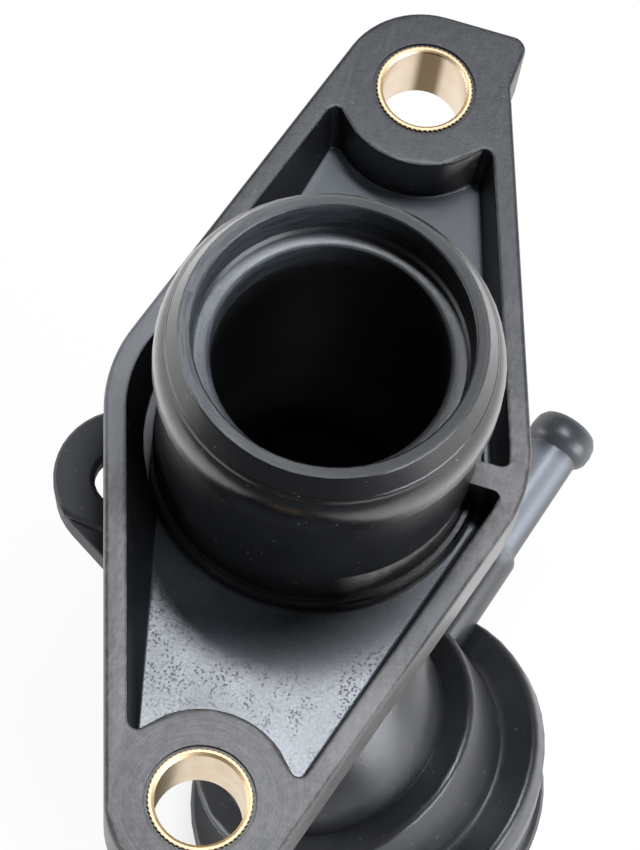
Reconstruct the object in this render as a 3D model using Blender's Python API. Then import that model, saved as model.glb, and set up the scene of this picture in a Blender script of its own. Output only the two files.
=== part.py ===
"""Coolant filler neck: a moulded body with a two-bolt pocketed flange, and two knurled brass sleeves.

The frame: origin on the hose spigot's axis in the plane of the flange's face, +Z along the spigot
towards the hose, the two bolts on the Y axis. Sizes below are in millimetres.
"""
import math

import bmesh
import bpy
from mathutils import Matrix, Vector

MM = 0.001

# Flange: a lozenge round two bolt bosses, hollowed from its face
BOLT_SPACING = 94.6
BOSS_RADIUS = 10.7
FLANGE_DEPTH = 10.1
FLANGE_HALF_WIDTH = 25.4
CORNER_RADIUS = 18.0
RIM_WIDTH = 2.75
FLOOR_THICKNESS = 2.0
EDGE_ROUND = 0.45
POCKET_CORNER_RADIUS = 1.0
POCKET_FLOOR_ROUND = 0.35
LEFT_SLOPE_AT_BOSS = 0.25
LEFT_SLOPE_AT_CORNER = 4.5
RIGHT_SLOPE_AT_BOSS = 0.5
RIGHT_SLOPE_AT_CORNER = 1.1
RIB_WIDTH = 3.1
RIB_FLARE = 1.2

# Locating nub on the upper boss
NUB_REACH = 10.7
NUB_WAIST = 10.05
NUB_WAIST_DROP = 7.5
NUB_CORNER_RADIUS = 1.8
NUB_ROOT_RADIUS = 1.6

# Brass sleeves in the bosses
SLEEVE_RADIUS = 6.0
SLEEVE_BORE_RADIUS = 5.15
SLEEVE_CHAMFER = 0.35
SLEEVE_CLEARANCE = 0.3
KNURL_DEPTH = 0.22
KNURL_TEETH = 60

# Hose spigot
SPIGOT_LENGTH = 25.9
SPIGOT_END_RADIUS = 17.3
SPIGOT_TUBE_RADIUS = 18.5
SPIGOT_TUBE_DRAFT = 0.6
BEAD_RADIUS = 19.8
BEAD_FOOT_HEIGHT = 16.3
BEAD_CREST_HEIGHT = 18.6
BEAD_RIDGE_HEIGHT = 23.0
BEAD_RIDGE_RADIUS = 18.55
BASE_RING_RADIUS = 20.2
BASE_RING_HEIGHT = 2.1
BASE_RING_CLEARANCE = 0.2
MOUTH_RADIUS = 15.7
MOUTH_DEPTH = 5.7
LEDGE_ROUND = 0.6
BORE_RADIUS = 13.4

# Elbow between the spigot and the neck
ELBOW_DROP = 31.0
CHAMBER_WALL = 2.9
CHAMBER_ROOT_FILLET = 2.2
PIPE_RADIUS = 15.3
PIPE_WALL = 2.6
ELBOW_BEND_RADIUS = 16.0

# Filler neck: its axis passes through NECK_POINT and leans out of -Z
NECK_POINT = (15.5, -22.3, -50.0)
NECK_LEAN = 29.6
NECK_LEAN_HEADING = -9.3
NECK_RADIUS = 19.2
NECK_WALL = 3.0
SHOULDER_WALL = 3.1
COLLAR_RADIUS = 24.2
COLLAR_RIM = 3.0
COLLAR_THICKNESS = 7.0
COLLAR_TAPER = 1.5
MOUTH_PIPE_RADIUS = 20.0
MOUTH_PIPE_LENGTH = 14.2
SEAT_DEPTH = 20.8
SEAT_LIP_HEIGHT = 0.6

# Overflow nipple on the neck
NIPPLE_STATION = 2.5
NIPPLE_HEADING = 70.7
NIPPLE_LENGTH = 53.4
NIPPLE_RADIUS = 3.45
NIPPLE_BASE_RADIUS = 4.1
NIPPLE_BASE_LENGTH = 33.3
NIPPLE_BEAD_RADIUS = 4.5
NIPPLE_BEAD_LENGTH = 4.6
NIPPLE_BORE_RADIUS = 2.2

# Side lug: a bored plate over a deeper web that runs to the elbow
LUG_CENTRE = (-21.0, -6.8)
LUG_RADIUS = 9.0
LUG_BORE_CENTRE = (-21.6, -7.2)
LUG_BORE_RADIUS = 3.3
LUG_BORE_CHAMFER = 0.6
LUG_TOP_DROP = 15.5
LUG_PLATE_THICKNESS = 2.5
LUG_PLATE_STEP = 1.0
LUG_PLATE_REACH = 17.5
LUG_PLATE_EDGE_HEADING = 229.4
LUG_PLATE_EDGE_SLOPE = 0.16
LUG_EDGE_ROUND = 0.4
LUG_RELIEF_STEP = 1.9
WEB_INSET = 0.2
WEB_EDGE_ROUND = 0.2
WEB_DEPTH = 4.2
WEB_END = (-5.0, -13.0)
WEB_END_RADIUS = 12.0

# Facets
ROUND_STEPS = 52
PIPE_STEPS = 36
SMALL_STEPS = 24
SLEEVE_STEPS = 48

BOLT_Y = BOLT_SPACING / 2
FLOOR_Z = -(FLANGE_DEPTH - FLOOR_THICKNESS)
OVERCUT = 2.0


def arc(centre, radius, start, end, steps):
    """Points on a circle from one angle to another, in degrees, both ends included."""
    points = []
    for i in range(steps + 1):
        angle = math.radians(start + (end - start) * i / steps)
        points.append((centre[0] + radius * math.cos(angle), centre[1] + radius * math.sin(angle)))
    return points


def round_corner(before, corner, after, radius, steps):
    """Points of the arc that rounds a corner between two straight stretches."""
    corner = Vector(corner)
    to_before = (Vector(before) - corner).normalized()
    to_after = (Vector(after) - corner).normalized()
    half = to_before.angle(to_after) / 2
    centre = corner + (to_before + to_after).normalized() * (radius / math.sin(half))
    reach = radius / math.tan(half)
    start = corner + to_before * reach - centre
    turn = start.angle_signed(corner + to_after * reach - centre)
    return [tuple(centre + Matrix.Rotation(-turn * i / steps, 2) @ start) for i in range(steps + 1)]


def tangent_heading(first, second):
    """Angle in degrees of the outward normal of the belt line from one circle to the next."""
    dx, dy = second[0] - first[0], second[1] - first[1]
    turn = math.atan2(dy, dx) - math.acos((first[2] - second[2]) / math.hypot(dx, dy))
    return math.degrees(turn) % 360


def inset(points, distance):
    """The outline moved inwards by a distance, each point along its own normal."""
    moved = []
    count = len(points)
    for i in range(count):
        here = Vector(points[i])
        back = (here - Vector(points[i - 1])).normalized()
        ahead = (Vector(points[(i + 1) % count]) - here).normalized()
        along = back + ahead
        normal = Vector((-along.y, along.x)).normalized()
        stretch = max(0.5, normal.dot(Vector((-ahead.y, ahead.x))))
        moved.append(tuple(here + normal * (distance / stretch)))
    return moved


def add_object(name, mesh_builder):
    """Makes an object from a bmesh, scaled from millimetres."""
    mesh = bpy.data.meshes.new(name)
    bmesh.ops.scale(mesh_builder, vec=(MM, MM, MM), verts=mesh_builder.verts)
    bmesh.ops.recalc_face_normals(mesh_builder, faces=mesh_builder.faces)
    mesh_builder.to_mesh(mesh)
    mesh_builder.free()
    thing = bpy.data.objects.new(name, mesh)
    bpy.context.scene.collection.objects.link(thing)
    return thing


def stack(name, rings):
    """A closed solid through rings of equally many points, capped at both ends."""
    builder = bmesh.new()
    loops = [[builder.verts.new(point) for point in ring] for ring in rings]
    for lower, upper in zip(loops, loops[1:]):
        for i in range(len(lower)):
            j = (i + 1) % len(lower)
            builder.faces.new((lower[i], lower[j], upper[j], upper[i]))
    bmesh.ops.triangulate(builder, faces=builder.faces)
    builder.faces.new(loops[0])
    builder.faces.new(loops[-1])
    return add_object(name, builder)


def slab(name, outline, levels):
    """A solid whose outline is inset by a given amount at each height."""
    rings = []
    for height, distance in levels:
        rings.append([(x, y, height) for x, y in inset(outline, distance)])
    return stack(name, rings)


def turned(name, profile, steps, place=None):
    """A solid turned about Z from (radius, height) points whose two ends lie on the axis."""
    builder = bmesh.new()
    verts = [builder.verts.new((radius, 0.0, height)) for radius, height in profile]
    edges = [builder.edges.new(pair) for pair in zip(verts, verts[1:])]
    bmesh.ops.spin(builder, geom=verts + edges, cent=(0, 0, 0), axis=(0, 0, 1),
                   angle=math.tau, steps=steps, use_merge=True)
    bmesh.ops.remove_doubles(builder, verts=builder.verts, dist=0.001)
    # each flat end becomes one face
    flat = []
    for vert in builder.verts:
        level = all(abs(edge.other_vert(vert).co.z - vert.co.z) < 0.001 for edge in vert.link_edges)
        if level and vert.co.xy.length < 0.001:
            flat.append(vert)
    bmesh.ops.dissolve_verts(builder, verts=flat)
    if place is not None:
        bmesh.ops.transform(builder, matrix=place, verts=builder.verts)
    return add_object(name, builder)


def swept(name, path, radius, steps):
    """A round bar along a path of points that lies in one plane."""
    points = [Vector(point) for point in path]
    side = (points[-1] - points[0]).cross(points[1] - points[0]).normalized()
    rings = []
    for i, point in enumerate(points):
        ahead = points[min(i + 1, len(points) - 1)]
        behind = points[max(i - 1, 0)]
        along = (ahead - behind).normalized()
        lift = along.cross(side).normalized()
        ring = []
        for k in range(steps):
            angle = math.tau * k / steps
            ring.append(point + (side * math.cos(angle) + lift * math.sin(angle)) * radius)
        rings.append(ring)
    return stack(name, rings)


def combine(target, tool, operation):
    """Applies a Boolean to the target and removes the tool."""
    modifier = target.modifiers.new(operation, "BOOLEAN")
    modifier.operation = operation
    modifier.solver = "EXACT"
    modifier.object = tool
    depsgraph = bpy.context.evaluated_depsgraph_get()
    mesh = bpy.data.meshes.new_from_object(target.evaluated_get(depsgraph))
    target.modifiers.clear()
    target.data = mesh
    bpy.data.objects.remove(tool)
    return target


def upright(point, direction, heading=(0, 1, 0)):
    """The matrix that puts Z along a direction at a point, with Y as near as may be to a heading."""
    z = Vector(direction).normalized()
    x = Vector(heading).cross(z).normalized()
    y = z.cross(x)
    turn = Matrix((x, y, z)).transposed()
    return Matrix.Translation(Vector(point)) @ turn.to_4x4()


def flange_outline():
    """The lozenge round both bosses, with the squared nub at the upper boss's right."""
    corner_x = FLANGE_HALF_WIDTH - CORNER_RADIUS
    top = (0.0, BOLT_Y, BOSS_RADIUS)
    left = (-corner_x, 0.0, CORNER_RADIUS)
    bottom = (0.0, -BOLT_Y, BOSS_RADIUS)
    right = (corner_x, 0.0, CORNER_RADIUS)
    rising = tangent_heading(right, top)
    left_out = tangent_heading(top, left)
    left_in = tangent_heading(left, bottom)
    falling = tangent_heading(bottom, right)
    turn = math.radians(rising)
    normal = Vector((math.cos(turn), math.sin(turn)))
    reach = normal.dot(Vector(top[:2])) + BOSS_RADIUS
    waist_y = BOLT_Y + BOSS_RADIUS - NUB_WAIST_DROP
    side_slope = (NUB_REACH - NUB_WAIST) / NUB_WAIST_DROP
    # where the nub's side meets the straight side of the lozenge
    root_y = (reach - normal.x * (NUB_WAIST - side_slope * waist_y)) / (normal.x * side_slope + normal.y)
    root = (NUB_WAIST + side_slope * (root_y - waist_y), root_y)
    tip = (NUB_REACH, BOLT_Y + BOSS_RADIUS)
    along_side = (root[0] + normal.y * 10, root[1] - normal.x * 10)
    points = arc(right, CORNER_RADIUS, falling - 360, rising, 12)
    points += round_corner(along_side, root, tip, NUB_ROOT_RADIUS, 4)
    points += round_corner(root, tip, (0.0, tip[1]), NUB_CORNER_RADIUS, 6)
    points += arc(top, BOSS_RADIUS, 90, left_out, 12)
    points += arc(left, CORNER_RADIUS, left_out, left_in, 12)
    points += arc(bottom, BOSS_RADIUS, left_in, falling, 24)
    return points


def pocket_corner(boss_y, line_offset, heading):
    """The small fillet where a pocket's side line runs into a boss, from the line to the boss."""
    normal = Vector((math.cos(math.radians(heading)), math.sin(math.radians(heading))))
    inward = Vector((normal.y, -normal.x))
    if inward.y * boss_y > 0:
        inward = -inward
    across = line_offset - POCKET_CORNER_RADIUS
    away = BOSS_RADIUS + POCKET_CORNER_RADIUS
    down = math.sqrt(away * away - across * across)
    boss = Vector((0.0, boss_y))
    centre = boss + normal * across + inward * down
    to_boss = (boss - centre).normalized()
    turn = normal.angle_signed(to_boss)
    steps = 6
    points = []
    for i in range(steps + 1):
        points.append(tuple(centre + Matrix.Rotation(-turn * i / steps, 2) @ normal * POCKET_CORNER_RADIUS))
    return points


def pocket_outline(share):
    """The pocket's outline at a share of the way down its sloping side walls."""
    corner_radius = CORNER_RADIUS - RIM_WIDTH
    line = BOSS_RADIUS - RIM_WIDTH
    right_line = line - RIGHT_SLOPE_AT_BOSS * share
    left_line = line - LEFT_SLOPE_AT_BOSS * share
    half_width = FLANGE_HALF_WIDTH - RIM_WIDTH
    right = (half_width - RIGHT_SLOPE_AT_CORNER * share - corner_radius, 0.0, corner_radius)
    left = (LEFT_SLOPE_AT_CORNER * share + corner_radius - half_width, 0.0, corner_radius)
    top_right = (0.0, BOLT_Y, right_line)
    top_left = (0.0, BOLT_Y, left_line)
    bottom_left = (0.0, -BOLT_Y, left_line)
    bottom_right = (0.0, -BOLT_Y, right_line)
    rising = tangent_heading(right, top_right)
    left_out = tangent_heading(top_left, left)
    left_in = tangent_heading(left, bottom_left)
    falling = tangent_heading(bottom_right, right)
    points = arc(right, corner_radius, falling - 360, rising, 12)
    points += pocket_corner(BOLT_Y, right_line, rising)
    points += arc((0.0, BOLT_Y), BOSS_RADIUS, -50, -128, 11)
    points += reversed(pocket_corner(BOLT_Y, left_line, left_out))
    points += arc(left, corner_radius, left_out, left_in, 12)
    points += pocket_corner(-BOLT_Y, left_line, left_in)
    points += arc((0.0, -BOLT_Y), BOSS_RADIUS, 128, 50, 11)
    points += reversed(pocket_corner(-BOLT_Y, right_line, falling))
    return points


def make_flange():
    """The flange block with its pocket and the rib that crosses it."""
    # height and inset of the outline, with the edges of both faces rounded
    step = EDGE_ROUND * 0.3
    top = [(0.0, EDGE_ROUND), (-step, step), (-EDGE_ROUND, 0.0)]
    foot = [(-FLANGE_DEPTH - height, distance) for height, distance in reversed(top)]
    flange = slab("filler_neck_body", flange_outline(), top + foot)

    # height, share of the side walls' slope and widening of the pocket's outline
    low_step = POCKET_FLOOR_ROUND * 0.3
    levels = [(OVERCUT, 0.0, EDGE_ROUND), (0.0, 0.0, EDGE_ROUND), (-step, 0.0, step),
              (-EDGE_ROUND, 0.0, 0.0), (FLOOR_Z + POCKET_FLOOR_ROUND, 1.0, 0.0),
              (FLOOR_Z + low_step, 1.0, -low_step), (FLOOR_Z, 1.0, -POCKET_FLOOR_ROUND)]
    rings = []
    for height, share, widening in levels:
        rings.append([(x, y, height) for x, y in inset(pocket_outline(share), -widening)])
    pocket = stack("pocket", rings)
    # the side walls stand clear of the spigot down to the top of its base ring
    clear_radius = BASE_RING_RADIUS + BASE_RING_CLEARANCE
    clear_foot = FLOOR_Z + BASE_RING_HEIGHT + BASE_RING_CLEARANCE
    clear = [(0.0, OVERCUT / 2), (clear_radius, OVERCUT / 2), (clear_radius, clear_foot), (0.0, clear_foot)]
    combine(pocket, turned("clearance", clear, ROUND_STEPS), "UNION")
    combine(pocket, make_rib_tool(), "DIFFERENCE")
    combine(flange, pocket, "DIFFERENCE")
    return flange


def make_rib_tool():
    """The upright rib between the spigot and the right corner, flared into the rim, as a tall bar."""
    rim_x = FLANGE_HALF_WIDTH - RIM_WIDTH + 0.2
    half = RIB_WIDTH / 2
    outer = rim_x + 2.0
    inner = BASE_RING_RADIUS - 5.0
    upper = [(outer, half + RIB_FLARE)]
    upper += arc((rim_x - RIB_FLARE, half + RIB_FLARE), RIB_FLARE, 0, -90, 5)
    upper += [(inner, half)]
    outline = upper + [(x, -y) for x, y in reversed(upper)]
    return slab("rib", outline, [(FLOOR_Z - OVERCUT, 0.0), (OVERCUT * 2, 0.0)])


def make_spigot():
    """Spigot and elbow chamber in one turning, from the hose end down to the rounded bottom."""
    ring_top = FLOOR_Z + BASE_RING_HEIGHT
    chamber_radius = BORE_RADIUS + CHAMBER_WALL
    root_radius = chamber_radius + CHAMBER_ROOT_FILLET
    foot_radius = SPIGOT_TUBE_RADIUS + SPIGOT_TUBE_DRAFT
    profile = [(0.0, SPIGOT_LENGTH), (SPIGOT_END_RADIUS - 0.2, SPIGOT_LENGTH),
               (SPIGOT_END_RADIUS, SPIGOT_LENGTH - 0.2), (BEAD_RIDGE_RADIUS, BEAD_RIDGE_HEIGHT),
               (BEAD_RIDGE_RADIUS + 0.45, BEAD_RIDGE_HEIGHT - 0.5),
               (BEAD_RADIUS - 0.3, BEAD_RIDGE_HEIGHT - 1.7), (BEAD_RADIUS - 0.05, BEAD_RIDGE_HEIGHT - 3.0),
               (BEAD_RADIUS, BEAD_CREST_HEIGHT), (BEAD_RADIUS, BEAD_FOOT_HEIGHT + 0.35),
               (BEAD_RADIUS - 0.3, BEAD_FOOT_HEIGHT), (SPIGOT_TUBE_RADIUS + 0.3, BEAD_FOOT_HEIGHT - 0.05),
               (SPIGOT_TUBE_RADIUS, BEAD_FOOT_HEIGHT - 0.4)]
    profile += [(foot_radius, ring_top + 0.5), (foot_radius + 0.2, ring_top),
                (BASE_RING_RADIUS - 0.3, ring_top), (BASE_RING_RADIUS, ring_top - 0.3),
                (BASE_RING_RADIUS, FLOOR_Z + 0.3),
                (BASE_RING_RADIUS + 0.3, FLOOR_Z), (BASE_RING_RADIUS + 0.3, FLOOR_Z - 0.6),
                (root_radius, FLOOR_Z - 0.6)]
    profile += arc((root_radius, -FLANGE_DEPTH - CHAMBER_ROOT_FILLET), CHAMBER_ROOT_FILLET, 90, 180, 4)
    profile += arc((0.0, -ELBOW_DROP), chamber_radius, 0, -90, 7)
    return turned("spigot", profile, ROUND_STEPS)


def neck_direction():
    """The neck's axis, pointing out of its mouth."""
    lean, heading = math.radians(NECK_LEAN), math.radians(NECK_LEAN_HEADING)
    return Vector((math.sin(lean) * math.cos(heading), math.sin(lean) * math.sin(heading), -math.cos(lean)))


def neck_frame():
    """Places a solid turned about Z on the neck's axis, with z = 0 at the collar's back face."""
    return upright(NECK_POINT, neck_direction())


def elbow_path(end):
    """Centre line from the chamber's middle, round the bend and down the neck to a height over the seat."""
    direction = neck_direction()
    point = Vector(NECK_POINT)
    meeting = point + direction * ((-ELBOW_DROP - point.z) / direction.z)
    middle = Vector((0.0, 0.0, -ELBOW_DROP))
    to_middle = (middle - meeting).normalized()
    half = to_middle.angle(direction) / 2
    reach = ELBOW_BEND_RADIUS / math.tan(half)
    centre = meeting + (to_middle + direction).normalized() * (ELBOW_BEND_RADIUS / math.sin(half))
    start = meeting + to_middle * reach - centre
    axis = start.cross(direction).normalized()
    turn = math.pi - 2 * half
    steps = 9
    bend = [centre + Matrix.Rotation(turn * i / steps, 3, axis) @ start for i in range(steps + 1)]
    return [middle] + bend + [point + direction * (MOUTH_PIPE_LENGTH - SEAT_DEPTH + end)]


def make_neck():
    """The neck outside: shoulder, wall, cap collar and mouth."""
    outer = COLLAR_RADIUS
    taper_foot = outer - COLLAR_TAPER
    lip = MOUTH_PIPE_RADIUS + 0.4
    shoulder = MOUTH_PIPE_LENGTH - SEAT_DEPTH - SHOULDER_WALL
    profile = [(0.0, shoulder)]
    profile += arc((NECK_RADIUS - 0.8, shoulder + 0.8), 0.8, -90, 0, 3)
    profile += [(NECK_RADIUS, -1.2), (NECK_RADIUS + 0.3, -0.4), (NECK_RADIUS + 1.1, 0.0)]
    profile += arc((outer - 0.9, 0.9), 0.9, -90, 0, 3)
    profile += [(outer, COLLAR_RIM)]
    profile += arc((taper_foot - 0.6, COLLAR_THICKNESS - 0.6), 0.6, 15, 90, 2)
    profile += [(MOUTH_PIPE_RADIUS, COLLAR_THICKNESS), (MOUTH_PIPE_RADIUS, MOUTH_PIPE_LENGTH - 2.2),
                (lip, MOUTH_PIPE_LENGTH - 1.6), (lip, MOUTH_PIPE_LENGTH - 0.8),
                (lip - 0.6, MOUTH_PIPE_LENGTH), (0.0, MOUTH_PIPE_LENGTH)]
    return turned("neck", profile, ROUND_STEPS, neck_frame())


def nipple_frame():
    """Places a solid turned about Z on the nipple's axis, with z = 0 on the neck's axis."""
    frame = neck_frame()
    spot = frame @ Vector((0.0, 0.0, -NIPPLE_STATION))
    axis = neck_direction()
    turn = math.radians(NIPPLE_HEADING)
    heading = Vector((math.cos(turn), math.sin(turn), 0.0))
    return upright(spot, heading - axis * heading.dot(axis), axis)


def make_nipple():
    """The overflow nipple: thick base, hose tube and end bead."""
    start = NECK_RADIUS - NECK_WALL / 2
    bead = NIPPLE_LENGTH - NIPPLE_BEAD_LENGTH
    profile = [(0.0, start), (NIPPLE_BASE_RADIUS, start), (NIPPLE_BASE_RADIUS, NIPPLE_BASE_LENGTH - 0.8),
               (NIPPLE_BASE_RADIUS - 0.2, NIPPLE_BASE_LENGTH - 0.2),
               (NIPPLE_RADIUS + 0.1, NIPPLE_BASE_LENGTH + 0.2), (NIPPLE_RADIUS, NIPPLE_BASE_LENGTH + 0.8),
               (NIPPLE_RADIUS, bead), (NIPPLE_RADIUS + 0.5, bead + 0.4),
               (NIPPLE_BEAD_RADIUS - 0.1, bead + 1.1), (NIPPLE_BEAD_RADIUS, bead + 2.2),
               (NIPPLE_BEAD_RADIUS - 0.2, bead + 3.5), (NIPPLE_BEAD_RADIUS - 0.7, bead + 4.3),
               (NIPPLE_BEAD_RADIUS - 1.2, NIPPLE_LENGTH), (0.0, NIPPLE_LENGTH)]
    return turned("nipple", profile, SMALL_STEPS, nipple_frame())


def make_lug():
    """The side lug's plate on the web that carries it to the elbow, in one piece."""
    top = -LUG_TOP_DROP
    web_top = top - LUG_PLATE_STEP
    lug = (LUG_CENTRE[0], LUG_CENTRE[1], LUG_RADIUS - WEB_INSET)
    end = (WEB_END[0], WEB_END[1], WEB_END_RADIUS)
    out = tangent_heading(lug, end)
    home = tangent_heading(end, lug)
    outline = arc(lug, lug[2], home, out, 18) + arc(end, end[2], out - 360, home, 14)
    low = web_top - WEB_DEPTH
    web = slab("web", outline, [(low, WEB_EDGE_ROUND), (low + WEB_EDGE_ROUND, 0.0),
                                (web_top - WEB_EDGE_ROUND, 0.0), (web_top, WEB_EDGE_ROUND)])

    rim = arc(LUG_CENTRE, LUG_RADIUS, 90, LUG_PLATE_EDGE_HEADING, 16)
    edge = rim[-1]
    far = (edge[0] + LUG_PLATE_REACH, edge[1] - LUG_PLATE_REACH * LUG_PLATE_EDGE_SLOPE)
    plate_outline = rim + [far, (far[0], rim[0][1])]
    levels = [(web_top - 0.5, 0.0), (top - LUG_EDGE_ROUND, 0.0), (top, LUG_EDGE_ROUND)]
    plate = slab("plate", plate_outline, levels)
    return combine(web, plate, "UNION")


def cut_bores(body):
    """Opens the bosses, the lug, the nipple and the waterway."""
    boss_bore = SLEEVE_RADIUS + SLEEVE_CLEARANCE
    for side in (1, -1):
        bore = [(0.0, OVERCUT), (boss_bore, OVERCUT), (boss_bore, -FLANGE_DEPTH - OVERCUT),
                (0.0, -FLANGE_DEPTH - OVERCUT)]
        place = Matrix.Translation((0.0, side * BOLT_Y, 0.0))
        combine(body, turned("boss_bore", bore, SLEEVE_STEPS, place), "DIFFERENCE")

    relief = LUG_BORE_RADIUS + LUG_RELIEF_STEP
    plate_foot = -LUG_TOP_DROP - LUG_PLATE_THICKNESS
    below = -LUG_TOP_DROP - LUG_PLATE_STEP - WEB_DEPTH - OVERCUT
    past = LUG_BORE_CHAMFER + 1.0
    lug = [(0.0, below), (relief, below), (relief, plate_foot),
           (LUG_BORE_RADIUS, plate_foot), (LUG_BORE_RADIUS, -LUG_TOP_DROP - LUG_BORE_CHAMFER),
           (LUG_BORE_RADIUS + past, 1.0 - LUG_TOP_DROP), (0.0, 1.0 - LUG_TOP_DROP)]
    place = Matrix.Translation((LUG_BORE_CENTRE[0], LUG_BORE_CENTRE[1], 0.0))
    combine(body, turned("lug_bore", lug, SMALL_STEPS, place), "DIFFERENCE")

    neck_bore = NECK_RADIUS - NECK_WALL
    nipple = [(0.0, neck_bore - OVERCUT), (NIPPLE_BORE_RADIUS, neck_bore - OVERCUT),
              (NIPPLE_BORE_RADIUS, NIPPLE_LENGTH + OVERCUT), (0.0, NIPPLE_LENGTH + OVERCUT)]
    combine(body, turned("nipple_bore", nipple, SMALL_STEPS, nipple_frame()), "DIFFERENCE")

    ledge = SPIGOT_LENGTH - MOUTH_DEPTH
    mouth = [(0.0, SPIGOT_LENGTH + 1.0), (MOUTH_RADIUS + 1.2, SPIGOT_LENGTH + 1.0),
             (MOUTH_RADIUS, SPIGOT_LENGTH - 0.2), (MOUTH_RADIUS, ledge + 0.4),
             (MOUTH_RADIUS - 0.4, ledge), (BORE_RADIUS + LEDGE_ROUND, ledge - 0.05),
             (BORE_RADIUS + LEDGE_ROUND * 0.3, ledge - LEDGE_ROUND * 0.4),
             (BORE_RADIUS, ledge - LEDGE_ROUND * 1.2)]
    mouth += arc((0.0, -ELBOW_DROP), BORE_RADIUS, 0, -90, 6)
    combine(body, turned("spigot_bore", mouth, ROUND_STEPS), "DIFFERENCE")

    pipe_bore = PIPE_RADIUS - PIPE_WALL
    elbow = swept("elbow_bore", elbow_path(SEAT_LIP_HEIGHT * 2), pipe_bore, PIPE_STEPS)
    combine(body, elbow, "DIFFERENCE")

    seat = MOUTH_PIPE_LENGTH - SEAT_DEPTH
    lip = seat + SEAT_LIP_HEIGHT
    filler = [(0.0, MOUTH_PIPE_LENGTH + 1.0), (neck_bore + 1.6, MOUTH_PIPE_LENGTH + 1.0),
              (neck_bore, MOUTH_PIPE_LENGTH - 0.6), (neck_bore, seat + 0.4),
              (neck_bore - 0.4, seat), (pipe_bore + 1.6, seat), (pipe_bore + 1.2, lip), (0.0, lip)]
    combine(body, turned("filler_bore", filler, ROUND_STEPS, neck_frame()), "DIFFERENCE")


def make_body():
    """The one moulded piece."""
    body = make_flange()
    elbow = swept("elbow", elbow_path(-1.0), PIPE_RADIUS, PIPE_STEPS)
    for piece in (make_spigot(), elbow, make_neck(), make_nipple(), make_lug()):
        combine(body, piece, "UNION")
    cut_bores(body)
    return body


def make_sleeve(name, y):
    """A knurled brass sleeve, chamfered inside at both ends."""
    teeth = []
    for i in range(KNURL_TEETH * 2):
        angle = math.tau * i / (KNURL_TEETH * 2)
        radius = SLEEVE_RADIUS if i % 2 == 0 else SLEEVE_RADIUS - KNURL_DEPTH
        teeth.append((radius * math.cos(angle), y + radius * math.sin(angle)))
    sleeve = stack(name, [[(*tooth, height) for tooth in teeth] for height in (0.0, -FLANGE_DEPTH)])
    past = SLEEVE_BORE_RADIUS + SLEEVE_CHAMFER + 1.0
    bore = [(0.0, 1.0), (past, 1.0), (SLEEVE_BORE_RADIUS, -SLEEVE_CHAMFER),
            (SLEEVE_BORE_RADIUS, SLEEVE_CHAMFER - FLANGE_DEPTH), (past, -FLANGE_DEPTH - 1.0),
            (0.0, -FLANGE_DEPTH - 1.0)]
    cutter = turned("sleeve_bore", bore, SLEEVE_STEPS, Matrix.Translation((0.0, y, 0.0)))
    return combine(sleeve, cutter, "DIFFERENCE")


def make_material(name, colour, roughness, metallic):
    """A plain Principled material."""
    material = bpy.data.materials.new(name)
    material.use_nodes = True
    shader = material.node_tree.nodes["Principled BSDF"]
    shader.inputs["Base Color"].default_value = (*colour, 1.0)
    shader.inputs["Roughness"].default_value = roughness
    shader.inputs["Metallic"].default_value = metallic
    return material


def finish(thing, material):
    """Gives a piece its material and smooth shading with crisp edges."""
    thing.data.materials.clear()
    thing.data.materials.append(material)
    thing.data.shade_smooth()
    thing.data.set_sharp_from_angle(angle=math.radians(32))


def main():
    for thing in list(bpy.data.objects):
        bpy.data.objects.remove(thing)
    nylon = make_material("black_nylon", (0.035, 0.037, 0.042), 0.45, 0.0)
    brass = make_material("brass", (0.83, 0.66, 0.38), 0.28, 1.0)
    finish(make_body(), nylon)
    finish(make_sleeve("upper_sleeve", BOLT_Y), brass)
    finish(make_sleeve("lower_sleeve", -BOLT_Y), brass)


main()
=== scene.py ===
"""Look of the coolant filler neck: materials, soft studio light, pale floor and the photograph's camera.

Lengths are millimetres in the frame of the part: +Z along the hose spigot, origin in the plane of the
flange's face. The lamps are placed in metres.
"""
import math
from types import SimpleNamespace

import bpy
from mathutils import Matrix, Vector


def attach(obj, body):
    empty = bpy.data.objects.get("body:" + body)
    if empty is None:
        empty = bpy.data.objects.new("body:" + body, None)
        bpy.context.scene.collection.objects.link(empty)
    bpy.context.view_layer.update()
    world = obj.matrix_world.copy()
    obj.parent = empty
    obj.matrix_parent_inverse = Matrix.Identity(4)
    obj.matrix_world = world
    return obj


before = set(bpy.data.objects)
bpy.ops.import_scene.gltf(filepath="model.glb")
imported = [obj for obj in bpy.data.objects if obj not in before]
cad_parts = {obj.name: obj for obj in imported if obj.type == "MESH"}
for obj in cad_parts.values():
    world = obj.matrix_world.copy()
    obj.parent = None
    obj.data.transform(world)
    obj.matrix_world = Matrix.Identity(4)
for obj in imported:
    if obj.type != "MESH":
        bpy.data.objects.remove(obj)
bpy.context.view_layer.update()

MM = 0.001

# Heights and radii of the part
FACE_Z = 0.0
POCKET_FLOOR_Z = -8.1
SPIGOT_END_Z = 25.9
RIDGE_Z = 23.0
BEAD_FOOT_Z = 16.3
BEAD_RADIUS = 19.8
MOUTH_RADIUS = 15.7
BORE_RADIUS = 13.4
BOLT_Y = 47.3
SLEEVE_RADIUS = 6.0
SLEEVE_BORE_RADIUS = 5.15
NECK_MOUTH = (25.4, -24.0, -72.7)

# Smooth shading: an edge whose faces turn by more degrees than this stays sharp
SHARP_ANGLE = 32.0
JOIN_DISTANCE = 0.002
FACE_AREA_WEIGHT = 50

# Ring of nylon against each knurl, from its inner to its outer radius and from its low to its high end
FILL_RADII = (5.86, 6.4)
FILL_HEIGHTS = (-0.80, -0.32)
FILL_STEPS = 96

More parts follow.
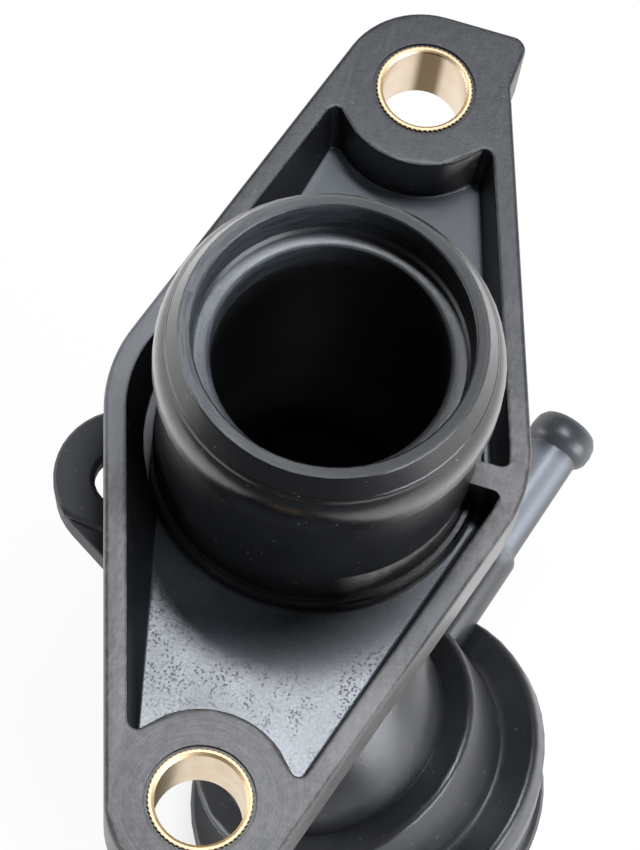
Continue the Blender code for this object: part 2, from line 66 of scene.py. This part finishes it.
# Nylon: pairs of colours that a pattern goes between, and single colours
PLAIN = ((0.0060, 0.0062, 0.0068), (0.010, 0.0102, 0.0110))
# Greyer nylon behind the flange: painted light.
BEHIND_FLANGE_PAINTED_LIGHT = ((0.019, 0.020, 0.0225), (0.028, 0.029, 0.032))
# The nipple: near black, going to a light grey painted highlight on its upward faces.
NIPPLE_AND_PAINTED_HIGHLIGHT = ((0.040, 0.043, 0.048), (0.205, 0.216, 0.238))
# The face: upper colours, and lower colours that are lighter as painted light over real scuffs.
FACE_UPPER = ((0.022, 0.023, 0.026), (0.050, 0.049, 0.052))
FACE_LOWER_SCUFFS_AND_PAINTED_LIGHT = ((0.046, 0.042, 0.040), (0.125, 0.114, 0.110))
# Bluish grey pocket floor: painted sheen.
POCKET_FLOOR_PAINTED_SHEEN = ((0.044, 0.051, 0.062), (0.060, 0.068, 0.082))
# The lip: real scrapes, lighter at its left as a painted highlight.
LIP_SCRAPES_AND_PAINTED_HIGHLIGHT = ((0.040, 0.043, 0.048), (0.130, 0.135, 0.142))
# A bluish band on the left inside wall of the mouth: painted sheen.
MOUTH_PAINTED_SHEEN = ((0.020, 0.024, 0.029), (0.062, 0.071, 0.082))
# The outer wall facing right and to the front: lighter, partly scuffs and partly painted reflection.
OUTER_EDGE_SCUFFS_AND_PAINTED_REFLECTION = ((0.17, 0.160, 0.150), (0.30, 0.285, 0.270))
# The left of the face: lighter as a painted sheen.
FACE_LEFT_PAINTED_SHEEN = (0.20, 0.203, 0.215)
RIM_DARK = (0.020, 0.021, 0.024)
RIM_LIGHT = (0.165, 0.152, 0.148)
FLOOR_SPOT = (0.012, 0.013, 0.016)
SPECK = (0.16, 0.155, 0.15)
NYLON_ROUGHNESS = 0.33
NYLON_BUMP = 0.02
NYLON_EDGE_ROUND = 0.22
LIP_LEAN = -0.06

# Brass: a pair of colours that a pattern goes between, and single colours
BRASS = ((0.74, 0.58, 0.38), (0.82, 0.68, 0.47))
BRASS_RIM = (0.70, 0.52, 0.30)
# Pale and dark painted reflections on one side of a sleeve's bore.
BRASS_PALE_PAINTED_REFLECTION = (0.86, 0.71, 0.60)
BRASS_DARK_PAINTED_REFLECTION = (0.20, 0.13, 0.065)
BRASS_KNURL = (0.22, 0.15, 0.08)
BRASS_ROUGHNESS = 0.24
BRASS_BUMP = 0.006
BRASS_EDGE_ROUND = 0.12

# Floor and world
FLOOR_HALF = 3000.0
FLOOR_Z = -72.7
FLOOR_COLOUR = (0.93, 0.93, 0.93)
FLOOR_WHITE = 0.93
SHADOW_REACH = (20.0, 34.0)
FLOOR_FRONT = (-200.0, -100.0)
FLOOR_FRONT_SHARE = 0.15
FLOOR_SIDES = (30.0, 90.0)
WORLD_LIGHT = 0.15
CEILING = (0.15, 0.60)
CEILING_SHARE = 0.12
WORLD_FRONT = (-0.85, -0.55)
WORLD_FRONT_SHARE = 0.10

# Lamps: name, place, what it faces, size, radiance and colour
COOL = (0.93, 0.98, 1.05)
MILD = (0.95, 0.98, 1.04)
FLANGE = (0.0, 0.0, 0.0)
BEHIND = (0.0, 0.0, -0.02)
LAMPS = (
    ("top_light", (0.08, 0.20, 0.85), FLANGE, (0.36, 0.085), 56.0, COOL),
    ("back_light", (0.0, 0.47, 0.85), FLANGE, (0.28, 0.18), 4.0, COOL),
    ("right_light", (0.60, -0.24, 0.16), BEHIND, (0.50, 0.40), 9.0, MILD),
    ("left_light", (-0.62, -0.10, 0.06), BEHIND, (0.40, 0.30), 6.0, COOL),
)

CAMERA_PLACE = (17.603, -143.604, 336.125)
CAMERA_RIGHT = (0.95857, 0.2765, 0.06855)
CAMERA_UP = (-0.28086, 0.87705, 0.38975)
CAMERA_BACK = (0.04765, -0.39285, 0.91837)
CAMERA_LENS = 132.484
CAMERA_SENSOR = 36.0
CAMERA_CLIP = (0.01, 20.0)


class Graph:
    """Builds a node tree with short calls; every value is a node's output or a number."""

    def __init__(self, tree):
        self.tree = tree
        self.nodes = tree.nodes

    def put(self, socket, value):
        """Links an output to a socket, or writes a number or colour into it."""
        if isinstance(value, bpy.types.NodeSocket):
            self.tree.links.new(value, socket)
        elif isinstance(value, (tuple, list)) and socket.type == "RGBA" and len(value) == 3:
            socket.default_value = (*value, 1.0)
        else:
            socket.default_value = value

    def math(self, operation, first, second=0.0):
        node = self.nodes.new("ShaderNodeMath")
        node.operation = operation
        self.put(node.inputs[0], first)
        self.put(node.inputs[1], second)
        return node.outputs[0]

    def add(self, *values):
        total = values[0]
        for value in values[1:]:
            total = self.math("ADD", total, value)
        return total

    def times(self, *values):
        total = values[0]
        for value in values[1:]:
            total = self.math("MULTIPLY", total, value)
        return total

    def opposite(self, share):
        return self.math("SUBTRACT", 1.0, share)

    def ramp(self, value, low, high, out_low=0.0, out_high=1.0):
        """A smooth step of the value from low to high."""
        node = self.nodes.new("ShaderNodeMapRange")
        node.interpolation_type = "SMOOTHSTEP"
        for socket, number in zip(node.inputs[:5], (value, low, high, out_low, out_high)):
            self.put(socket, number)
        return node.outputs[0]

    def fall(self, value, low, high):
        """One up to low, and down to nought at high."""
        return self.ramp(value, low, high, 1.0, 0.0)

    def band(self, value, low, high, soft):
        """One between low and high, falling to nought over the soft margin outside them."""
        return self.times(self.ramp(value, low - soft, low), self.fall(value, high, high + soft))

    def between(self, share, first, second):
        """The first number at a share of nought, the second at one."""
        node = self.nodes.new("ShaderNodeMix")
        node.data_type = "FLOAT"
        self.put(node.inputs[0], share)
        self.put(node.inputs[2], first)
        self.put(node.inputs[3], second)
        return node.outputs[0]

    def mix(self, share, first, second):
        """The first colour at a share of nought, the second at one."""
        node = self.nodes.new("ShaderNodeMix")
        node.data_type = "RGBA"
        self.put(node.inputs[0], share)
        self.put(node.inputs[6], first)
        self.put(node.inputs[7], second)
        return node.outputs[2]

    def tone(self, pattern, low, high, colours):
        """Goes from the first of two colours to the second as the pattern goes from low to high."""
        return self.mix(self.ramp(pattern, low, high), *colours)

    def noise(self, place, size, detail=2.0, roughness=0.5):
        """Noise whose patches are about the given size in millimetres."""
        node = self.nodes.new("ShaderNodeTexNoise")
        self.put(node.inputs["Vector"], place)
        node.inputs["Scale"].default_value = 1.0 / size
        node.inputs["Detail"].default_value = detail
        node.inputs["Roughness"].default_value = roughness
        return node.outputs[0]

    def cells(self, place, size):
        """Distance to scattered points that lie about the given size apart."""
        node = self.nodes.new("ShaderNodeTexVoronoi")
        self.put(node.inputs["Vector"], place)
        node.inputs["Scale"].default_value = 1.0 / size
        return node.outputs["Distance"]

    def coordinates(self):
        """The point in millimetres and the normal, in the frame of the part."""
        source = self.nodes.new("ShaderNodeTexCoord")
        node = self.nodes.new("ShaderNodeVectorMath")
        node.operation = "SCALE"
        self.put(node.inputs[0], source.outputs["Object"])
        node.inputs["Scale"].default_value = 1.0 / MM
        return node.outputs[0], source.outputs["Normal"]

    def parts(self, vector):
        node = self.nodes.new("ShaderNodeSeparateXYZ")
        self.put(node.inputs[0], vector)
        return node.outputs

    def vector(self, x, y, z):
        node = self.nodes.new("ShaderNodeCombineXYZ")
        for socket, value in zip(node.inputs, (x, y, z)):
            self.put(socket, value)
        return node.outputs[0]

    def vectors(self, operation, first, second):
        node = self.nodes.new("ShaderNodeVectorMath")
        node.operation = operation
        self.put(node.inputs[0], first)
        self.put(node.inputs[1], second)
        return node.outputs

    def shift(self, vector, offset, scale=(1.0, 1.0, 1.0)):
        """The vector scaled along each axis and moved by the offset."""
        return self.vectors("ADD", self.vectors("MULTIPLY", vector, scale)[0], offset)[0]

    def radius(self, x, y):
        return self.math("SQRT", self.add(self.times(x, x), self.times(y, y)))

    def angle(self, x, y):
        return self.math("ARCTAN2", y, x)

    def bevelled(self, radius):
        """The surface normal with every edge rounded over the radius in millimetres."""
        node = self.nodes.new("ShaderNodeBevel")
        node.samples = 4
        node.inputs["Radius"].default_value = radius * MM
        return node.outputs[0]

    def bump(self, height, depth, normal):
        """Tilts the normal by a height field that is depth millimetres deep."""
        node = self.nodes.new("ShaderNodeBump")
        node.inputs["Distance"].default_value = depth * MM
        self.put(node.inputs["Height"], height)
        self.put(node.inputs["Normal"], normal)
        return node.outputs[0]

    def ray(self, kind):
        """One for rays of the kind, such as Camera or Glossy."""
        return self.nodes.new("ShaderNodeLightPath").outputs[f"Is {kind} Ray"]

    def seen_directly(self):
        """One for rays from the camera, from glossy surfaces and through clear ones."""
        return self.math("MAXIMUM", self.math("MAXIMUM", self.ray("Camera"), self.ray("Glossy")),
                         self.ray("Transmission"))

    def emission(self, strength):
        node = self.nodes.new("ShaderNodeEmission")
        node.inputs["Color"].default_value = (1.0, 1.0, 1.0, 1.0)
        self.put(node.inputs["Strength"], strength)
        return node.outputs[0]

    def blend(self, share, first, second):
        """The first shader at a share of nought, the second at one."""
        node = self.nodes.new("ShaderNodeMixShader")
        for socket, value in zip(node.inputs, (share, first, second)):
            self.put(socket, value)
        return node.outputs[0]


def new_material(name):
    """A material with its graph and its shader."""
    material = bpy.data.materials.new(name)
    material.use_nodes = True
    return material, Graph(material.node_tree), material.node_tree.nodes["Principled BSDF"]


def nylon_regions(g, x, y, z, normal):
    """Masks of the body's regions, each one inside the region and nought outside it."""
    side_x, side_y, up = g.parts(normal)
    out = g.radius(x, y)
    level = g.ramp(up, 0.55, 0.9)
    lip = g.times(g.ramp(z, SPIGOT_END_Z - 0.25, SPIGOT_END_Z - 0.1), level)
    floor = g.times(level, g.band(z, POCKET_FLOOR_Z - 0.4, POCKET_FLOOR_Z + 0.5, 0.3))
    behind = g.fall(z, -13.0, -11.0)
    right_rim = g.ramp(x, 9.0, 13.0)
    foot_ring = g.band(z, BEAD_FOOT_Z, BEAD_FOOT_Z + 0.15, 0.25)
    ridge_ring = g.band(z, RIDGE_Z - 0.1, RIDGE_Z + 0.05, 0.25)
    # Left side of the mouth's inside wall, for a painted sheen.
    mouth = g.times(g.fall(out, MOUTH_RADIUS + 0.5, MOUTH_RADIUS + 0.9), g.ramp(z, 15.0, 17.0),
                    g.fall(g.add(x, g.times(y, -0.3)), -12.0, 2.0))
    return SimpleNamespace(
        out=out,
        lip=lip,
        face=g.times(level, g.band(z, FACE_Z - 0.5, FACE_Z + 0.5, 0.3)),
        floor=floor,
        lower_floor=g.times(floor, g.fall(y, -8.0, 8.0)),
        behind=behind,
        nipple=g.times(g.ramp(x, 15.0, 18.0), g.ramp(y, 6.0, 9.5), behind),
        # Painted highlight: the nipple's shaft is lighter where it faces up.
        nipple_painted_highlight=g.times(g.fall(y, 22.0, 25.0), g.ramp(up, 0.30, 0.85)),
        # Painted sheen on the left of the face.
        face_left_painted_sheen=g.times(g.fall(x, -22.0, -17.0), g.band(y, -8.0, 12.0, 9.0)),
        rim_dark=g.times(right_rim, g.band(y, -21.0, -15.0, 6.0)),
        rim_light=g.times(right_rim, g.band(y, -37.0, -31.0, 5.0)),
        lug=g.times(g.fall(x, -19.0, -18.0), g.fall(z, -13.0, -12.0)),
        bore=g.times(g.fall(out, BORE_RADIUS + 0.2, BORE_RADIUS + 0.6), g.ramp(z, -26.0, -20.0)),
        bead=g.times(g.ramp(z, BEAD_FOOT_Z - 1.0, BEAD_FOOT_Z),
                     g.band(out, MOUTH_RADIUS + 1.5, BEAD_RADIUS + 1.0, 0.6)),
        rings=g.times(g.add(ridge_ring, foot_ring), g.fall(out, BEAD_RADIUS + 0.5, BEAD_RADIUS + 1.0)),
        mouth=g.times(mouth, g.opposite(lip)),
        # Outer wall facing right and to the front, for scuffs and a painted reflection.
        edge=g.times(g.ramp(side_x, 0.35, 0.6), g.fall(side_y, -0.45, -0.2),
                     g.band(z, -9.5, -0.6, 0.4), g.ramp(x, 4.0, 8.0)),
    )


def nylon_patterns(g, place, x, y, z, out):
    """The noises that break up the nylon: moulding grain, scuffs, scratches, spots and specks."""
    from_bolt_y = g.add(y, BOLT_Y)
    from_bolt = g.radius(x, from_bolt_y)
    mottle = g.noise(place, 1.3, 5.0, 0.72)
    drawn = g.noise(g.shift(place, (0.0, 0.0, 0.0), (1.6, 0.35, 1.0)), 0.9, 4.0, 0.65)
    circles = g.vector(g.times(from_bolt, 3.2), g.times(g.angle(x, from_bolt_y), 1.4), 0.0)
    turned = g.noise(circles, 1.0, 4.0, 0.65)
    scratches = g.between(g.fall(from_bolt, 11.0, 16.0), drawn, turned)
    specks = g.fall(g.cells(g.shift(place, (3.1, 1.7, 0.4)), 0.9), 0.10, 0.22)
    dots = g.fall(g.cells(g.shift(place, (5.0, 2.0, 1.0)), 0.42), 0.22, 0.46)
    patches = g.noise(g.shift(place, (1.0, 7.0, 2.0), (1.0, 0.6, 1.0)), 4.0, 4.0, 0.7)
    round_spigot = g.vector(g.times(out, 2.5), g.times(g.angle(x, y), 3.0), g.times(z, 2.0))
    return SimpleNamespace(
        grain=g.noise(place, 0.35, 3.0, 0.6),
        cloud=g.noise(place, 9.0, 3.0, 0.6),
        wave=g.noise(place, 1.4),
        mottle=mottle,
        scuff=g.add(g.times(mottle, 0.5), g.times(scratches, 0.5)),
        fine=g.noise(round_spigot, 1.0, 4.0, 0.7),
        specks=g.times(specks, g.ramp(g.noise(place, 2.2), 0.56, 0.66)),
        spots=g.times(dots, g.ramp(patches, 0.44, 0.54), g.fall(y, -22.0, -16.0),
                      g.ramp(y, -36.0, -30.0, 0.35, 1.0)),
    )


def nylon_colour(g, x, y, region, pattern):
    """Near black. Painted light: greyer behind the flange, a bluish sheen in the pocket, a lighter face low
    down and at its left over real scuffs, and highlights on the nipple, the lip (with real scrapes), the
    mouth and the outer edge (with scuffs).
    """
    # Painted light: the face turns lighter towards its lower side, broken up by cloudy noise, over the real
    # scuff pattern.
    lower_face_painted_light = g.fall(g.add(y, g.times(g.add(pattern.cloud, -0.5), 40.0)), -2.0, 26.0)
    face = g.mix(lower_face_painted_light, g.tone(pattern.scuff, 0.38, 0.64, FACE_UPPER),
                 g.tone(pattern.scuff, 0.38, 0.64, FACE_LOWER_SCUFFS_AND_PAINTED_LIGHT))
    # Painted sheen at the left of the face.
    face = g.mix(g.times(region.face_left_painted_sheen, 0.6), face, FACE_LEFT_PAINTED_SHEEN)
    face = g.mix(g.times(region.rim_dark, 0.7), face, RIM_DARK)
    face = g.mix(g.times(region.rim_light, 0.5), face, RIM_LIGHT)
    # Painted bluish sheen on the pocket floor, with real dark spots.
    floor = g.mix(g.times(pattern.spots, 0.6), g.tone(pattern.cloud, 0.35, 0.65, POCKET_FLOOR_PAINTED_SHEEN), FLOOR_SPOT)
    # The lip: real scrapes, and a painted highlight towards its left.
    lip_across = g.add(x, g.times(y, 0.3), g.times(g.add(pattern.fine, -0.5), 14.0))
    lip_scrapes_and_painted_highlight = g.times(region.lip, g.fall(lip_across, -18.0, 8.0))
    layers = (
        # Painted light: the nylon behind the flange made greyer.
        (region.behind, g.tone(pattern.cloud, 0.3, 0.7, BEHIND_FLANGE_PAINTED_LIGHT)),
        (region.nipple, g.mix(region.nipple_painted_highlight, *NIPPLE_AND_PAINTED_HIGHLIGHT)),
        (region.face, face),
        (region.floor, floor),
        (g.times(pattern.specks, 0.5), SPECK),
        (g.times(lip_scrapes_and_painted_highlight, 0.8), g.tone(pattern.fine, 0.35, 0.65, LIP_SCRAPES_AND_PAINTED_HIGHLIGHT)),
        (region.mouth, g.tone(pattern.fine, 0.35, 0.65, MOUTH_PAINTED_SHEEN)),
        (g.times(region.edge, 0.85), g.tone(pattern.mottle, 0.35, 0.65, OUTER_EDGE_SCUFFS_AND_PAINTED_REFLECTION)),
    )
    colour = g.tone(pattern.cloud, 0.3, 0.7, PLAIN)
    for share, paint in layers:
        colour = g.mix(share, colour, paint)
    return colour


def nylon_roughness(g, region, pattern):
    changes = (
        (region.face, 0.09),
        (region.floor, 0.04),
        (region.lower_floor, -0.10),
        (region.lug, 0.27),
        (region.bore, 0.25),
        (region.bead, -0.12),
        (region.lip, 0.16),
        (region.nipple, 0.04),
        (g.times(pattern.spots, region.floor), 0.17),
        (g.add(pattern.grain, -0.5), 0.12),
        (g.add(pattern.cloud, -0.5), 0.08),
    )
    return g.add(NYLON_ROUGHNESS, *(g.times(mask, change) for mask, change in changes))


def nylon_normal(g, x, y, region, pattern):
    """Rounded edges, moulding grain, the bead's two rings, and a lip that leans in a little."""
    lean = g.times(g.math("DIVIDE", LIP_LEAN, region.out), region.lip)
    tilt = g.vector(g.times(x, lean), g.times(y, lean), 0.0)
    base = g.vectors("ADD", g.bevelled(NYLON_EDGE_ROUND), tilt)[0]
    height = g.add(g.times(pattern.grain, g.add(0.7, g.times(region.floor, -0.45))),
                   g.times(pattern.wave, g.add(0.5, g.times(region.floor, -0.3))),
                   g.times(region.rings, 4.0))
    return g.bump(height, NYLON_BUMP, base)


def nylon_material():
    """Black glass-filled nylon."""
    material, g, shader = new_material("black_nylon_look")
    place, normal = g.coordinates()
    x, y, z = g.parts(place)
    region = nylon_regions(g, x, y, z, normal)
    pattern = nylon_patterns(g, place, x, y, z, region.out)
    g.put(shader.inputs["Base Color"], nylon_colour(g, x, y, region, pattern))
    g.put(shader.inputs["Roughness"], nylon_roughness(g, region, pattern))
    g.put(shader.inputs["Normal"], nylon_normal(g, x, y, region, pattern))
    shader.inputs["Specular IOR Level"].default_value = 0.5
    return material


def brass_material(name, centre_y, bore_painted_reflection_share):
    """Turned brass: satin ends, a dulled knurl, and on one side of the bore a pale painted reflection with a
    soft dark painted band, at the given share.
    """
    material, g, shader = new_material(name)
    place, normal = g.coordinates()
    place = g.shift(place, (0.0, -centre_y, 0.0))
    x, y, z = g.parts(place)
    out = g.radius(x, y)
    turning = g.noise(g.vector(g.times(out, 14.0), g.times(g.angle(x, y), 0.6), g.times(z, 5.0)),
                      1.0, 2.0, 0.6)
    knurl = g.ramp(out, SLEEVE_RADIUS - 0.3, SLEEVE_RADIUS - 0.1)
    rim = g.times(g.ramp(z, -0.6, -0.3), g.ramp(g.parts(normal)[2], 0.1, 0.4))
    # One side of the bore, for pale and dark painted reflections.
    bore = g.times(g.fall(out, SLEEVE_BORE_RADIUS + 0.1, SLEEVE_BORE_RADIUS + 0.2),
                   g.ramp(y, 0.0, 2.0), bore_painted_reflection_share)
    layers = (
        (g.times(rim, 0.7), BRASS_RIM),
        (g.times(bore, 0.5), BRASS_PALE_PAINTED_REFLECTION),
        (g.times(bore, g.band(x, -1.3, 0.5, 1.3)), BRASS_DARK_PAINTED_REFLECTION),
        (g.times(knurl, 0.75), BRASS_KNURL),
    )
    colour = g.tone(g.noise(place, 2.5, 3.0, 0.6), 0.3, 0.7, BRASS)
    for share, paint in layers:
        colour = g.mix(share, colour, paint)
    g.put(shader.inputs["Base Color"], colour)
    g.put(shader.inputs["Roughness"], g.add(BRASS_ROUGHNESS, g.times(turning, 0.14), g.times(rim, 0.22),
                                            g.times(knurl, 0.12)))
    g.put(shader.inputs["Normal"], g.bump(turning, BRASS_BUMP, g.bevelled(BRASS_EDGE_ROUND)))
    shader.inputs["Metallic"].default_value = 1.0
    return material


def make_floor():
    """A pale plain floor under the lowest point, with a soft shadow round the neck's mouth.

    The camera sees it white. Glossy surfaces see it dark in front of the part and brighter at both sides.
    """
    material, g, shader = new_material("studio_floor")
    shader.inputs["Base Color"].default_value = (*FLOOR_COLOUR, 1.0)
    shader.inputs["Roughness"].default_value = 0.9
    shader.inputs["Specular IOR Level"].default_value = 0.2
    place = g.coordinates()[0]
    x, y, _ = g.parts(place)
    front = g.ramp(y, *FLOOR_FRONT, FLOOR_FRONT_SHARE, 1.0)
    clear = g.ramp(g.vectors("DISTANCE", place, NECK_MOUTH)["Value"], *SHADOW_REACH, 0.0, FLOOR_WHITE)
    white = g.times(g.seen_directly(), clear, g.math("MAXIMUM", g.ray("Camera"), front))
    sides = g.ramp(g.math("ABSOLUTE", x), *FLOOR_SIDES)
    glow = g.emission(g.add(g.times(sides, g.ray("Glossy")), 1.0))
    lit = g.blend(white, shader.outputs[0], glow)
    seen = g.blend(g.times(g.opposite(front), g.ray("Glossy")), lit, g.emission(0.0))
    g.put(g.nodes["Material Output"].inputs["Surface"], seen)

    half, level = FLOOR_HALF * MM, FLOOR_Z * MM
    corners = [(-half, -half, level), (half, -half, level), (half, half, level), (-half, half, level)]
    mesh = bpy.data.meshes.new("studio_floor")
    mesh.from_pydata(corners, [], [(0, 1, 2, 3)])
    mesh.materials.append(material)
    thing = bpy.data.objects.new("studio_floor", mesh)
    bpy.context.scene.collection.objects.link(thing)


def make_world():
    """White to the camera and a weak even light on the object.

    Glossy surfaces see a darker ceiling and front.
    """
    world = bpy.data.worlds.new("studio")
    bpy.context.scene.world = world
    world.use_nodes = True
    g = Graph(world.node_tree)
    background = g.nodes["Background"]
    background.inputs["Color"].default_value = (1.0, 1.0, 1.0, 1.0)
    _, y, z = g.parts(g.nodes.new("ShaderNodeTexCoord").outputs["Generated"])
    walls = g.times(g.ramp(z, *CEILING, 1.0, CEILING_SHARE), g.ramp(y, *WORLD_FRONT, WORLD_FRONT_SHARE, 1.0))
    mirrored = g.between(g.ray("Glossy"), 1.0, walls)
    g.put(background.inputs["Strength"], g.between(g.seen_directly(), WORLD_LIGHT, mirrored))


def make_softbox(name, place, target, size, radiance, colour):
    """A rectangular soft lamp of an even radiance that faces the target."""
    lamp = bpy.data.lights.new(name, "AREA")
    lamp.shape = "RECTANGLE"
    lamp.size, lamp.size_y = size
    lamp.energy = radiance * math.pi * size[0] * size[1]
    lamp.color = colour
    thing = bpy.data.objects.new(name, lamp)
    bpy.context.scene.collection.objects.link(thing)
    away = (Vector(place) - Vector(target)).normalized()
    thing.matrix_world = Matrix.Translation(place) @ away.to_track_quat("Z", "Y").to_matrix().to_4x4()


def make_camera():
    """The photograph's viewpoint."""
    data = bpy.data.cameras.new("camera")
    data.sensor_fit = "AUTO"
    data.sensor_width = CAMERA_SENSOR
    data.lens = CAMERA_LENS
    data.clip_start, data.clip_end = CAMERA_CLIP
    thing = bpy.data.objects.new("camera", data)
    bpy.context.scene.collection.objects.link(thing)
    turn = Matrix((CAMERA_RIGHT, CAMERA_UP, CAMERA_BACK)).transposed()
    thing.matrix_world = Matrix.Translation(Vector(CAMERA_PLACE) * MM) @ turn.to_4x4()
    bpy.context.scene.camera = thing


def smoothing_nodes():
    """Joins the triangles at their corners, and keeps only edges over the sharp angle sharp."""
    group = bpy.data.node_groups.new("smooth_shading", "GeometryNodeTree")
    group.interface.new_socket("Geometry", in_out="INPUT", socket_type="NodeSocketGeometry")
    group.interface.new_socket("Geometry", in_out="OUTPUT", socket_type="NodeSocketGeometry")
    entry = group.nodes.new("NodeGroupInput")
    join = group.nodes.new("GeometryNodeMergeByDistance")
    join.inputs["Distance"].default_value = JOIN_DISTANCE * MM
    angle = group.nodes.new("GeometryNodeInputMeshEdgeAngle")
    sharp = group.nodes.new("FunctionNodeCompare")
    sharp.data_type = "FLOAT"
    sharp.operation = "GREATER_THAN"
    sharp.inputs["B"].default_value = math.radians(SHARP_ANGLE)
    normal = group.nodes.new("GeometryNodeSetMeshNormal")
    normal.mode = "SHARPNESS"
    normal.inputs["Remove Custom"].default_value = True
    normal.inputs["Face Sharpness"].default_value = False
    leave = group.nodes.new("NodeGroupOutput")
    link = group.links.new
    link(entry.outputs[0], join.inputs["Geometry"])
    link(angle.outputs["Unsigned Angle"], sharp.inputs["A"])
    link(join.outputs["Geometry"], normal.inputs["Mesh"])
    link(sharp.outputs["Result"], normal.inputs["Edge Sharpness"])
    link(normal.outputs["Mesh"], leave.inputs[0])
    return group


def dress(node, material, smoothing):
    """Gives a node of the frame its finished material and smooth shading."""
    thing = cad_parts[node]
    thing.data.materials.clear()
    thing.data.materials.append(material)
    thing.modifiers.new("smooth", "NODES").node_group = smoothing
    even = thing.modifiers.new("even", "WEIGHTED_NORMAL")
    even.mode = "FACE_AREA"
    even.weight = FACE_AREA_WEIGHT
    even.keep_sharp = True


def fill_clearance(name, centre_y, material):
    """The moulded nylon that lies against a sleeve's knurl, where the CAD keeps its clearance."""
    inner, outer = (radius * MM for radius in FILL_RADII)
    low, high = (height * MM for height in FILL_HEIGHTS)
    section = ((inner, low), (outer, low), (outer, high), (inner, high))
    corners, faces = [], []
    for radius, level in section:
        for step in range(FILL_STEPS):
            turn = math.tau * step / FILL_STEPS
            corners.append((radius * math.cos(turn), centre_y * MM + radius * math.sin(turn), level))
    for row in range(len(section)):
        this, following = row * FILL_STEPS, (row + 1) % len(section) * FILL_STEPS
        for step in range(FILL_STEPS):
            after = (step + 1) % FILL_STEPS
            faces.append((this + step, this + after, following + after, following + step))
    mesh = bpy.data.meshes.new(name)
    mesh.from_pydata(corners, [], faces)
    mesh.materials.append(material)
    ring = bpy.data.objects.new(name, mesh)
    bpy.context.scene.collection.objects.link(ring)
    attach(ring, "root")


smoothing = smoothing_nodes()
nylon = nylon_material()
dress("filler_neck_body", nylon, smoothing)
fill_clearance("upper_knurl_nylon", BOLT_Y, nylon)
fill_clearance("lower_knurl_nylon", -BOLT_Y, nylon)
dress("upper_sleeve", brass_material("brass_look_upper", BOLT_Y, 1.0), smoothing)
dress("lower_sleeve", brass_material("brass_look_lower", -BOLT_Y, 0.0), smoothing)

make_floor()
make_world()
for lamp in LAMPS:
    make_softbox(*lamp)
make_camera()
bpy.context.scene.view_settings.view_transform = "Standard"
